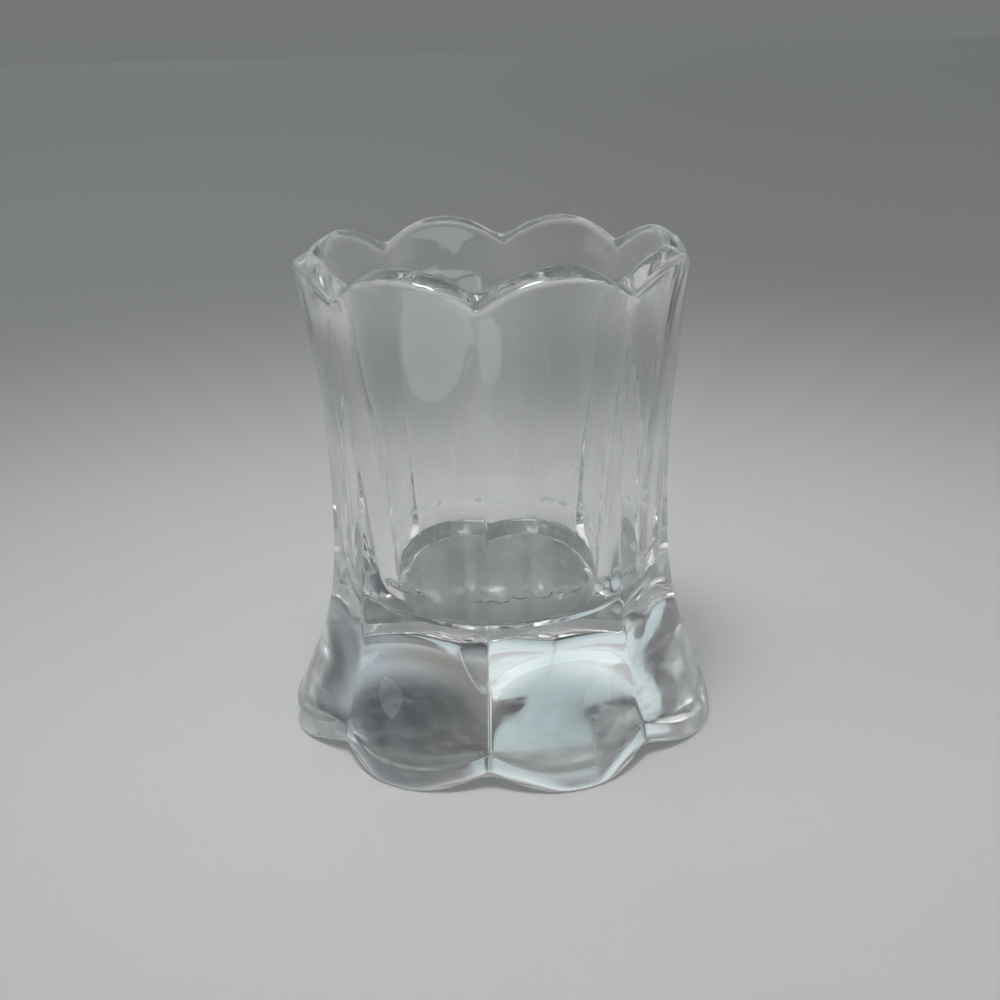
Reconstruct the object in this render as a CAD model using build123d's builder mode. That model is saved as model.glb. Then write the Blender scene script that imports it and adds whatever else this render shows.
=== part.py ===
"""Toothpick holder of clear pressed glass: eight panels, a scalloped rim, a round well and a lobed foot."""

import os
from math import atan2, cos, degrees, pi, tan

from build123d import *

os.makedirs("parts", exist_ok=True)

# Millimetres, +Z up. The origin is on the table under the middle of the foot.
# A ridge between two panels faces -Y, which is the front.
panels = 8
height = 60.0  # table to the inner tip of a scallop

# Underside: flat, with a low arch under each ridge that rises outwards to the foot's edge.
foot_arch_length = 4.3
foot_arch_rise = 2.0
foot_arch_radius = 8.0
foot_bevel = 0.4

# Outside of the body at a few heights: radius to a ridge and radius to the middle of a panel.
edge_over_arch = 0.5  # upright edge of the foot that is left above an arch
edge_height = foot_arch_rise + edge_over_arch
edge_ridge_radius = 25.8
edge_panel_radius = 27.85
lobe_height = 7.5
lobe_ridge_radius = 24.3
lobe_panel_radius = 25.4
ankle_height = 13.0
ankle_ridge_radius = 22.75
ankle_panel_radius = 21.35
calf_height = 20.5
calf_ridge_radius = 21.75
calf_panel_radius = 20.15
waist_height = 29.0
waist_ridge_radius = 21.6
waist_panel_radius = 20.0
chest_height = 40.0
chest_ridge_radius = 22.0
chest_panel_radius = 20.75
neck_height = 51.0
neck_ridge_radius = 23.2
neck_panel_radius = 22.8
rim_ridge_radius = 24.3
rim_panel_radius = 24.7

# Rim: scallops between the ridges, with a top face that falls outwards.
scallop_depth = 3.3
rim_fall = 17.5  # degrees

# Well for the toothpicks, pressed by a tapered plunger.
floor_thickness = 15.6
well_floor_radius = 16.7
well_corner_radius = 2.8
well_neck_radius = 19.1
well_mouth_radius = 21.0

half_turn = pi / panels  # from a ridge to the middle of its panel
panel_angle = 180 / panels


def panel_section(ridge_radius, panel_radius):
    """Eight equal arcs from ridge to ridge through the middles of the panels."""
    for turn in range(panels):
        start, end = turn * 2 * panel_angle, (turn + 1) * 2 * panel_angle
        ThreePointArc(
            PolarLine((0, 0), ridge_radius, start, mode=Mode.PRIVATE) @ 1,
            PolarLine((0, 0), panel_radius, (start + end) / 2, mode=Mode.PRIVATE) @ 1,
            PolarLine((0, 0), ridge_radius, end, mode=Mode.PRIVATE) @ 1,
        )


# Foot: the lobed edge that stands on the table, with a tilted round cut under each ridge
foot_arch_slope = degrees(atan2(foot_arch_rise, foot_arch_length))
with BuildPart() as foot_form:
    for station_height, inset in ((0, foot_bevel), (foot_bevel, 0), (edge_height, 0)):
        with BuildSketch(Plane.XY.offset(station_height)):
            with BuildLine():
                panel_section(edge_ridge_radius - inset, edge_panel_radius - inset)
            make_face()
    loft(ruled=True)
    with PolarLocations(edge_ridge_radius - foot_arch_length, panels):
        with Locations(Location((0, 0, 0), (0, -foot_arch_slope, 0))):
            with Locations((0, 0, -foot_arch_radius)):
                Cylinder(foot_arch_radius, edge_panel_radius, rotation=(0, 90, 0), mode=Mode.SUBTRACT)

# Body: lofted from the top of the foot's edge to the waist, and from the waist to above the rim
lower_stations = (
    (edge_height, edge_ridge_radius, edge_panel_radius),
    (lobe_height, lobe_ridge_radius, lobe_panel_radius),
    (ankle_height, ankle_ridge_radius, ankle_panel_radius),
    (calf_height, calf_ridge_radius, calf_panel_radius),
    (waist_height, waist_ridge_radius, waist_panel_radius),
)
upper_stations = (
    (waist_height, waist_ridge_radius, waist_panel_radius),
    (chest_height, chest_ridge_radius, chest_panel_radius),
    (neck_height, neck_ridge_radius, neck_panel_radius),
    (height + scallop_depth, rim_ridge_radius, rim_panel_radius),
)
with BuildPart() as body_form:
    for stations in (lower_stations, upper_stations):
        for station_height, ridge_radius, panel_radius in stations:
            with BuildSketch(Plane.XY.offset(station_height)):
                with BuildLine():
                    panel_section(ridge_radius, panel_radius)
                make_face()
        loft()

# Everything under the scalloped rim: one arch for each panel, spreading from the axis
arch_overlap = 1.0  # degrees past the ridge, so that neighbouring arches meet in a clean notch
arch_inner = well_neck_radius * cos(2 * half_turn)
arch_outer = rim_panel_radius + scallop_depth
arch_reach = 1 + arch_overlap / panel_angle
with BuildPart() as rim_form:
    Cylinder(radius=2 * arch_outer, height=2 * chest_height)
    for turn in range(panels):
        facing = Plane.XZ.rotated((0, 0, (2 * turn + 1) * panel_angle))
        for distance in (arch_inner, arch_outer):
            tip = height - (distance - well_mouth_radius) * tan(rim_fall * pi / 180)
            spring = tip - scallop_depth * arch_reach**2
            half_width = distance * tan(half_turn) * arch_reach
            with BuildSketch(facing.offset(distance)):
                with BuildLine():
                    ThreePointArc((-half_width, spring), (0, tip), (half_width, spring))
                    Polyline(
                        (half_width, spring),
                        (half_width, waist_height),
                        (-half_width, waist_height),
                        (-half_width, spring),
                    )
                make_face()
        loft(ruled=True)

# The well, turned about the main axis
with BuildPart() as well_form:
    with BuildSketch(Plane.XZ):
        with BuildLine():
            floor = Line((0, floor_thickness), (well_floor_radius - well_corner_radius, floor_thickness))
            corner = TangentArc(
                floor @ 1,
                (well_floor_radius, floor_thickness + well_corner_radius),
                tangent=floor % 1,
            )
            side = Line(corner @ 1, (well_neck_radius, neck_height))
            mouth = TangentArc(side @ 1, (well_mouth_radius, height), tangent=side % 1)
            top = Line(mouth @ 1, (mouth @ 1) + (mouth % 1) * (2 * scallop_depth))
            Polyline(top @ 1, (0, (top @ 1).Y), floor @ 0)
        make_face()
    revolve(axis=Axis.Z)

# The holder: foot and body in one pressing, with the rim shaped and the well pressed
with BuildPart() as glass_holder:
    add(foot_form.part)
    add(body_form.part)
    add(rim_form.part, mode=Mode.INTERSECT)
    add(well_form.part, mode=Mode.SUBTRACT)

glass_holder.part.label = "glass_holder"
export_step(glass_holder.part, "parts/glass_holder.step")
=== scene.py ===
from math import cos, hypot, pi, radians, sin, sqrt

import bmesh
import bpy
from mathutils import Matrix, Vector


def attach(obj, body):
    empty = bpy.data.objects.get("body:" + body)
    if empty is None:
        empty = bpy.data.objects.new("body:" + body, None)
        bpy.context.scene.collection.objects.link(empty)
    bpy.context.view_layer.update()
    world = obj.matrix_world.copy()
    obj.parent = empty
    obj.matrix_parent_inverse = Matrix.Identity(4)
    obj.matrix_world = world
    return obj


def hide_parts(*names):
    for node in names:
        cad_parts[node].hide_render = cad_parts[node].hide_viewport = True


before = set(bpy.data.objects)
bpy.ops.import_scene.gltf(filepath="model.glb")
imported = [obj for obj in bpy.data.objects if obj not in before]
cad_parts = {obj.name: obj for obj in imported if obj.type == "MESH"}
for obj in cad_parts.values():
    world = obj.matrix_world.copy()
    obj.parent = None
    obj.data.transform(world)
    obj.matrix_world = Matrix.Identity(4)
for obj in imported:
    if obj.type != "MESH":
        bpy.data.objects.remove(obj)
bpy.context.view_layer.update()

# The holder: one pressing of clear soda-lime glass. An iron mould gives the eight panels and the lobed
# foot, a tapered plunger presses the round well, and the rim is fire-polished into soft scallops.
# It is made as a cage of rings that runs from the underside over the rim down to the floor of the well.
MM = 0.001
PANELS = 8
HALF_PANEL = pi / PANELS
SPOKES = (0.0, HALF_PANEL / 3, 2 * HALF_PANEL / 3, HALF_PANEL)  # from the middle of a panel to its ridge
RIDGE = 3  # the last spoke
RING_POINTS = 2 * RIDGE * PANELS
UNDERSIDE_RADIUS = 19  # the cage starts with this ring of the flat underside
FOOT_RADIUS = 25.6  # to a ridge at the foot's edge
FOOT_ARCH_RADIUS = 6.2  # of the low arch that the edge makes under a ridge
BAND_HEIGHT, BAND_LIFT = 2.5, 1.8  # upright edge of the foot, and how far it rises at a ridge
RIM_RADIUS = 22.4  # to the middle of the rim's top face
SCALLOP_RADIUS = 12.8  # of a scallop of the rim
BEVEL = 17.3, 15.75  # heights of the two edges of the bevel round the floor of the well
OUTSIDE_RADIUS = 21.3  # ridges lie further out than this, and the well lies inside it
OFF_TABLE = 0.5  # points higher than this are above the underside
CRISPNESS = 0.75  # of the creased edges
CLOSE = 0.01  # two heights this near are the same

bpy.ops.object.select_all(action="DESELECT")
bpy.ops.mesh.primitive_circle_add(vertices=RING_POINTS, radius=UNDERSIDE_RADIUS * MM, fill_type="NOTHING")
holder = bpy.context.object
holder.name = "pressed_glass_holder"
bpy.ops.object.mode_set(mode="EDIT")
bpy.ops.mesh.select_mode(type="VERT")


def spoke_of(point):
    """Which spoke of its panel a point of a ring lies on, from 0 at the middle to RIDGE at the ridge."""
    turn = Vector((point.x, point.y)).angle_signed(Vector((1, 0))) % (2 * HALF_PANEL)
    return round(abs(turn - HALF_PANEL) / (HALF_PANEL / RIDGE))


def select_points(numbers):
    """Selects these points of the cage, and the edges between them."""
    cage = bmesh.from_edit_mesh(holder.data)
    cage.verts.ensure_lookup_table()
    for point in cage.verts:
        point.select = False
    for number in numbers:
        cage.verts[number].select = True
    cage.select_flush_mode()
    bmesh.update_edit_mesh(holder.data)


def shape_ring(radius_at, height_at):
    """Moves the selected ring to its radius and height on each spoke, both in millimetres."""
    cage = bmesh.from_edit_mesh(holder.data)
    ring = {point.index: spoke_of(point.co) for point in cage.verts if point.select}
    for spoke, angle in enumerate(SPOKES):
        points = [number for number in ring if ring[number] == spoke]
        select_points(points)
        cage = bmesh.from_edit_mesh(holder.data)
        cage.verts.ensure_lookup_table()
        now = cage.verts[points[0]].co
        grow = radius_at(angle) * MM / hypot(now.x, now.y)
        climb = height_at(angle) * MM - now.z
        bpy.ops.transform.resize(value=(grow, grow, 1), center_override=(0, 0, 0))
        bpy.ops.transform.translate(value=(0, 0, climb))
    select_points(ring)


def next_ring(radius_at, height_at):
    """Extrudes the open end of the cage into one more ring."""
    bpy.ops.mesh.extrude_region()
    shape_ring(radius_at, height_at)


def panel(ridge, middle):
    """Radius across a panel: the arc through its two ridges and its middle."""
    half_chord, apothem = ridge * sin(HALF_PANEL), ridge * cos(HALF_PANEL)
    bulge = middle - apothem
    radius = (half_chord**2 + bulge**2) / (2 * bulge)
    centre = middle - radius
    return lambda angle: centre * cos(angle) + sqrt(radius**2 - (centre * sin(angle)) ** 2)


def flat(size):
    """The same radius or height all round."""
    return lambda angle: size


def drop(radius, away):
    """How far an arc of this radius has fallen at this distance from its highest point."""
    return radius - sqrt(radius**2 - min(away, radius) ** 2)


def scalloped(tip):
    """Height along a scallop of the rim whose tip stands at this height."""
    return lambda angle: tip - drop(SCALLOP_RADIUS, RIM_RADIUS * sin(angle))


def arched(height, lift):
    """Height round the edge of the foot, which rises in a low arch at each ridge."""
    return lambda angle: height + max(
        0.0, lift - drop(FOOT_ARCH_RADIUS, FOOT_RADIUS * sin(HALF_PANEL - angle))
    )


# Foot, from the underside up: height, rise at a ridge, radius at a ridge, radius at a lobe's middle
shape_ring(flat(UNDERSIDE_RADIUS), flat(0))
for height, lift, ridge, middle in (
    (0.0, 0.0, 23.0, 26.0),
    (0.0, 1.9, 25.4, 27.95),
    (0.05, 2.1, 25.85, 28.25),
    (0.8, 2.1, 25.85, 28.2),
    (BAND_HEIGHT, BAND_LIFT, 25.45, 27.9),
    (3.3, 1.5, 25.2, 27.3),
    (5.2, 0.8, 24.85, 26.5),
):
    next_ring(panel(ridge, middle), arched(height, lift))

# Body up to the rim: height, radius at a ridge, radius at a panel's middle
for height, ridge, middle in (
    (7.5, 24.4, 25.35),
    (10.0, 23.6, 23.3),
    (13.0, 22.75, 21.25),
    (17.0, 22.1, 20.45),
    (22.0, 21.7, 20.1),
    (29.0, 21.58, 19.97),
    (36.0, 21.75, 20.25),
    (43.0, 22.3, 21.2),
    (49.5, 23.0, 22.55),
):
    next_ring(panel(ridge, middle), flat(height))

# Rim, with a top face that falls outwards and rounded edges: tip of the scallops, and the two radii
for tip, ridge, middle in (
    (57.6, 23.6, 23.8),
    (58.6, 23.75, 24.1),
    (59.15, 23.55, 23.9),
    (59.6, 22.8, 23.1),
    (60.1, 21.6, 22.25),
    (60.15, 21.0, 21.75),
    (59.6, 20.6, 21.35),
    (58.4, 20.35, 20.95),
):
    next_ring(panel(ridge, middle), scalloped(tip))

# Well, from the mouth down to its floor: height and radius
for height, radius in (
    (52.5, 19.3),
    (44.0, 18.5),
    (34.0, 17.8),
    (24.0, 17.1),
    (19.0, 16.72),
    (BEVEL[0], 16.3),
    (BEVEL[1], 13.9),
    (15.6, 12.5),
):
    next_ring(flat(radius), flat(height))

# The ridges stay crisp from the foot to the notches of the rim, as do the foot's edge and the well's bevel
band_height_at = arched(BAND_HEIGHT, BAND_LIFT)
bpy.ops.mesh.select_mode(type="EDGE")
cage = bmesh.from_edit_mesh(holder.data)
for edge in cage.edges:
    ends = [point.co for point in edge.verts]
    outside = all(hypot(end.x, end.y) > OUTSIDE_RADIUS * MM for end in ends)
    on_ridge = all(spoke_of(end) == RIDGE and end.z > OFF_TABLE * MM for end in ends)
    on_band = all(abs(end.z / MM - band_height_at(SPOKES[spoke_of(end)])) < CLOSE for end in ends)
    on_bevel = any(all(abs(end.z / MM - height) < CLOSE for end in ends) for height in BEVEL)
    edge.select = (on_ridge or on_band) if outside else on_bevel
bmesh.update_edit_mesh(holder.data)
bpy.ops.transform.edge_crease(value=CRISPNESS)

bpy.ops.object.mode_set(mode="OBJECT")
soften = holder.modifiers.new("soften", "SUBSURF")
soften.levels = 3
soften.render_levels = 3
bpy.ops.object.modifier_apply(modifier="soften")

# The flat floor of the well and the flat underside close the shell
bpy.ops.object.mode_set(mode="EDIT")
bpy.ops.mesh.select_all(action="SELECT")
bpy.ops.mesh.fill_holes(sides=0)
bpy.ops.mesh.select_all(action="SELECT")
bpy.ops.mesh.normals_make_consistent(inside=False)
bpy.ops.object.mode_set(mode="OBJECT")
bpy.ops.object.shade_smooth()

# Clear glass. Its faces are a little wavy from the mould, and a fine seam of the mould runs down four
# ridges. A ragged line of small chips goes round the bottom of the well, which is scratched by use,
# and the foot's edge is scuffed.
GLASS_COLOUR = (0.98, 0.99, 0.985, 1)
GLASS_SHADOW = (0.84, 0.86, 0.85, 1)
GLASS_IOR = 1.51
WALL_FOOT, WALL_TAPER = 17.0, 0.075  # radius inside the wall at the table, and its growth with height
CHIP_LINE, CHIP_SWING = 21.0, 1.2  # height of the line of chips, and how far it wanders up and down
SEAM_EDGE, SEAM_CORE = 0.22, 0.05  # distance from the middle of a seam to its foot and to its flat top
RELIEF = 0.03  # depth of the waves of the mould

glass = bpy.data.materials.new("clear_pressed_glass")
glass.use_nodes = True
nodes, links = glass.node_tree.nodes, glass.node_tree.links


def value(operation, first, second=0.0, third=0.0):
    """A Math node over values or sockets."""
    math = nodes.new("ShaderNodeMath")
    math.operation = operation
    for socket, given in zip(math.inputs, (first, second, third)):
        if isinstance(given, float):
            socket.default_value = given
        else:
            links.new(given, socket)
    return math.outputs["Value"]


def product(first, second):
    """Two values or sockets multiplied."""
    return value("MULTIPLY", first, second)


def fade(given, start, end, low=0.0, high=1.0):
    """Goes smoothly from low to high while a value goes from start to end."""
    ramp = nodes.new("ShaderNodeMapRange")
    ramp.interpolation_type = "SMOOTHSTEP"
    for name, number in (("From Min", start), ("From Max", end), ("To Min", low), ("To Max", high)):
        ramp.inputs[name].default_value = number
    links.new(given, ramp.inputs["Value"])
    return ramp.outputs["Result"]


def grain(scale, detail, stretch=(1, 1, 1), lean=0.0):
    """Noise over the surface, with so many grains to the millimetre."""
    placed = nodes.new("ShaderNodeMapping")
    placed.inputs["Scale"].default_value = stretch
    placed.inputs["Rotation"].default_value = (lean, lean, 0)
    links.new(millimetres.outputs["Vector"], placed.inputs["Vector"])
    noise = nodes.new("ShaderNodeTexNoise")
    noise.inputs["Scale"].default_value = scale
    noise.inputs["Detail"].default_value = detail
    links.new(placed.outputs["Vector"], noise.inputs["Vector"])
    return noise.outputs["Fac"]


# Where a point of the glass lies, in millimetres
coordinates = nodes.new("ShaderNodeTexCoord")
millimetres = nodes.new("ShaderNodeVectorMath")
millimetres.operation = "SCALE"
millimetres.inputs["Scale"].default_value = 1 / MM
links.new(coordinates.outputs["Object"], millimetres.inputs["Vector"])
split = nodes.new("ShaderNodeSeparateXYZ")
links.new(millimetres.outputs["Vector"], split.inputs["Vector"])
east, north, level = split.outputs
from_axis = value("SQRT", value("ADD", product(east, east), product(north, north)))
inside_wall = value("MULTIPLY_ADD", level, WALL_TAPER, WALL_FOOT)
in_well = fade(value("SUBTRACT", inside_wall, from_axis), -0.2, 0.2)

# Wear: patches of chips along a ragged line, upright scratches in the well, and scuffs on the foot's edge
patches = fade(grain(0.14, 1.0), 0.46, 0.56)
ragged = value("MULTIPLY_ADD", grain(0.5, 4.0), 2 * CHIP_SWING, -CHIP_SWING)
off_line = value("ABSOLUTE", value("SUBTRACT", value("ADD", level, ragged), CHIP_LINE))
chips = product(product(fade(off_line, 0.6, 0.1), patches), in_well)
scratches = product(fade(grain(0.9, 2.0, (1, 1, 0.12), 0.35), 0.64, 0.7), in_well)
scuffs = product(fade(level, 4.0, 2.5), fade(grain(0.5, 3.0), 0.4, 0.7, 0.06, 0.16))
worn = value("MAXIMUM", scuffs, value("MAXIMUM", product(chips, 0.6), product(scratches, 0.2)))

# Relief: broad and upright waves, the chips, and the seams on the ridges that face the four quarters
off_seam = value("MINIMUM", value("ABSOLUTE", east), value("ABSOLUTE", north))
seam = product(fade(off_seam, SEAM_EDGE, SEAM_CORE), fade(from_axis, 20.5, 21.2))
waves = value("ADD", grain(0.22, 1.0, (1, 1, 0.5)), product(grain(0.5, 1.0, (1, 1, 0.04)), 0.5))
moulded = product(value("MULTIPLY_ADD", seam, 2.0, waves), fade(level, 0.3, 3.0))
relief = value("ADD", moulded, product(chips, product(grain(1.6, 4.0), 6.0)))
bump = nodes.new("ShaderNodeBump")
bump.inputs["Distance"].default_value = RELIEF * MM
links.new(relief, bump.inputs["Height"])

clear = nodes["Principled BSDF"]
clear.inputs["Base Color"].default_value = GLASS_COLOUR
clear.inputs["Transmission Weight"].default_value = 1
clear.inputs["IOR"].default_value = GLASS_IOR
links.new(worn, clear.inputs["Roughness"])
links.new(bump.outputs["Normal"], clear.inputs["Normal"])

# Lamps shine through the glass on to the table, a little dimmed
path = nodes.new("ShaderNodeLightPath")
through = nodes.new("ShaderNodeBsdfTransparent")
through.inputs["Color"].default_value = GLASS_SHADOW
either = nodes.new("ShaderNodeMixShader")
links.new(path.outputs["Is Shadow Ray"], either.inputs["Fac"])
links.new(clear.outputs["BSDF"], either.inputs[1])
links.new(through.outputs["BSDF"], either.inputs[2])
links.new(either.outputs["Shader"], nodes["Material Output"].inputs["Surface"])
holder.data.materials.append(glass)
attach(holder, "root")
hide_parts("glass_holder")

# Studio: a pale floor that runs far back, pale cloths to the north and south, and a dim room between them.
# One cool window stands far off behind the holder and one, low and wide, behind the camera on the right.
# Soft lamps light the floor around the holder.
FLOOR_SIZE = 12
FLOOR_GAP = 0.05 * MM  # the floor lies this far under the foot
FLOOR_COLOUR = (0.5, 0.5, 0.495, 1)
HORIZON = (0.174, 0.182, 0.184)  # the floor has this tone where it ends
AIM = Vector((0, 0, 30 * MM))  # the lamps point at the middle of the holder

bpy.ops.object.select_all(action="DESELECT")
bpy.ops.mesh.primitive_plane_add(size=FLOOR_SIZE, location=(0, 0, -FLOOR_GAP))
floor = bpy.context.object
floor.name = "floor"
paper = bpy.data.materials.new("pale_floor")
paper.use_nodes = True
paper.node_tree.nodes["Principled BSDF"].inputs["Base Color"].default_value = FLOOR_COLOUR
paper.node_tree.nodes["Principled BSDF"].inputs["Roughness"].default_value = 0.6
floor.data.materials.append(paper)

world = bpy.data.worlds.new("studio")
bpy.context.scene.world = world
world.use_nodes = True
air, threads = world.node_tree.nodes, world.node_tree.links


def grey(tone):
    """A colour with no hue."""
    return (tone, tone, tone)


def graded(given, *stops):
    """A colour that runs through these stops, each a position and a colour, as a value rises."""
    ramp = air.new("ShaderNodeValToRGB")
    first, last = ramp.color_ramp.elements
    first.position, first.color = stops[0][0], (*stops[0][1], 1)
    last.position, last.color = stops[-1][0], (*stops[-1][1], 1)
    for position, colour in stops[1:-1]:
        ramp.color_ramp.elements.new(position).color = (*colour, 1)
    threads.new(given, ramp.inputs["Fac"])
    return ramp.outputs["Color"]


def blended(factor, one, other, blend_type="MIX"):
    """Goes from one colour to the other with the factor."""
    mix = air.new("ShaderNodeMix")
    mix.data_type, mix.blend_type = "RGBA", blend_type
    threads.new(factor, mix.inputs["Factor"])
    threads.new(one, mix.inputs["A"])
    threads.new(other, mix.inputs["B"])
    return mix.outputs["Result"]


where = air.new("ShaderNodeTexCoord")
facing = air.new("ShaderNodeSeparateXYZ")
threads.new(where.outputs["Generated"], facing.inputs["Vector"])
toward_cloth = air.new("ShaderNodeMath")
toward_cloth.operation = "MULTIPLY"
threads.new(facing.outputs["Y"], toward_cloth.inputs[0])
threads.new(facing.outputs["Y"], toward_cloth.inputs[1])
west_to_east = air.new("ShaderNodeMath")
west_to_east.operation = "MULTIPLY_ADD"
west_to_east.inputs[1].default_value, west_to_east.inputs[2].default_value = 0.5, 0.5
threads.new(facing.outputs["X"], west_to_east.inputs[0])
upper_cloth = air.new("ShaderNodeMapRange")
upper_cloth.inputs["From Min"].default_value, upper_cloth.inputs["From Max"].default_value = 0.12, 0.3
threads.new(facing.outputs["Z"], upper_cloth.inputs["Value"])

# The cloth is brightest a little above the horizon, and warmer in the middle than at its two ends
cloth = graded(
    facing.outputs["Z"],
    (0.0, HORIZON),
    (0.04, grey(0.19)),
    (0.1, grey(0.36)),
    (0.16, grey(0.55)),
    (0.3, grey(0.68)),
    (0.45, grey(0.4)),
    (0.62, grey(0.2)),
    (1.0, grey(0.1)),
)
tints = graded(
    west_to_east.outputs["Value"],
    (0.4, grey(1.0)),
    (0.53, (0.68, 0.65, 0.62)),
    (0.66, (0.74, 0.84, 0.9)),
)
tinted = blended(upper_cloth.outputs["Result"], cloth, tints, "MULTIPLY")
dim_room = graded(facing.outputs["Z"], (0.0, HORIZON), (0.25, (0.05, 0.05, 0.052)))
threads.new(blended(toward_cloth.outputs["Value"], dim_room, tinted), air["Background"].inputs["Color"])


def softbox(name, place, size, glow, colour=(1, 1, 1), spread=180):
    """A lamp behind a cloth of this size, in metres, aimed at the holder."""
    bpy.ops.object.light_add(type="AREA", location=place)
    light = bpy.context.object
    light.name = name
    light.data.shape = "RECTANGLE"
    light.data.size, light.data.size_y = size
    light.data.energy = glow * pi * size[0] * size[1]
    light.data.color = colour
    light.data.spread = radians(spread)
    light.rotation_euler = (AIM - Vector(place)).to_track_quat("-Z", "Y").to_euler()


softbox("window", (-2.52, 5.96, 4.72), (6.0, 4.8), 0.42, (0.75, 0.95, 1))
softbox("window_behind", (6.9, -9.84, 1.44), (10.2, 2.16), 2.4, (0.82, 0.96, 1))
softbox("softbox_top", (-0.04, -0.16, 0.6), (0.2, 0.2), 1.3, spread=38)
softbox("strip_left", (-0.7, -0.15, 0.7), (0.45, 0.9), 0.8)
softbox("softbox_right", (0.85, -0.25, 0.7), (0.55, 0.7), 0.8)
bpy.ops.object.light_add(type="SUN", rotation=(0.2, -0.3, 0))
sky = bpy.context.object
sky.name = "sky_above"
sky.data.energy = 0.4
sky.data.angle = radians(60)

# Camera at the photograph's viewing angle: in front of the holder, looking down, with a slight roll.
# It is then swung a little about the axis of the holder.
distance, camera_height = 157.3 * MM, 83.2 * MM
pitch, yaw, roll, orbit = radians(19.80), radians(0.07), radians(-1.68), radians(4.20)
forward = Vector((sin(yaw) * cos(pitch), cos(yaw) * cos(pitch), -sin(pitch)))
right = Vector((cos(yaw), -sin(yaw), 0))
up = right.cross(forward)
image_right = cos(roll) * right + sin(roll) * up
image_up = -sin(roll) * right + cos(roll) * up
bpy.ops.object.camera_add()
camera = bpy.context.object
camera.matrix_world = Matrix.Rotation(orbit, 4, "Z") @ Matrix(
    (
        (image_right.x, image_up.x, -forward.x, 0),
        (image_right.y, image_up.y, -forward.y, -distance),
        (image_right.z, image_up.z, -forward.z, camera_height),
        (0, 0, 0, 1),
    )
)
camera.data.sensor_width = 36
camera.data.lens = 46.8
camera.data.clip_start = 0.005

# Light may pass many faces of the glass, and bright specks of focused light stay off the floor
scene = bpy.context.scene
scene.camera = camera
scene.view_settings.view_transform = "Standard"
scene.cycles.max_bounces = 24
scene.cycles.glossy_bounces = 16
scene.cycles.transmission_bounces = 24
scene.cycles.caustics_refractive = False
scene.cycles.caustics_reflective = False
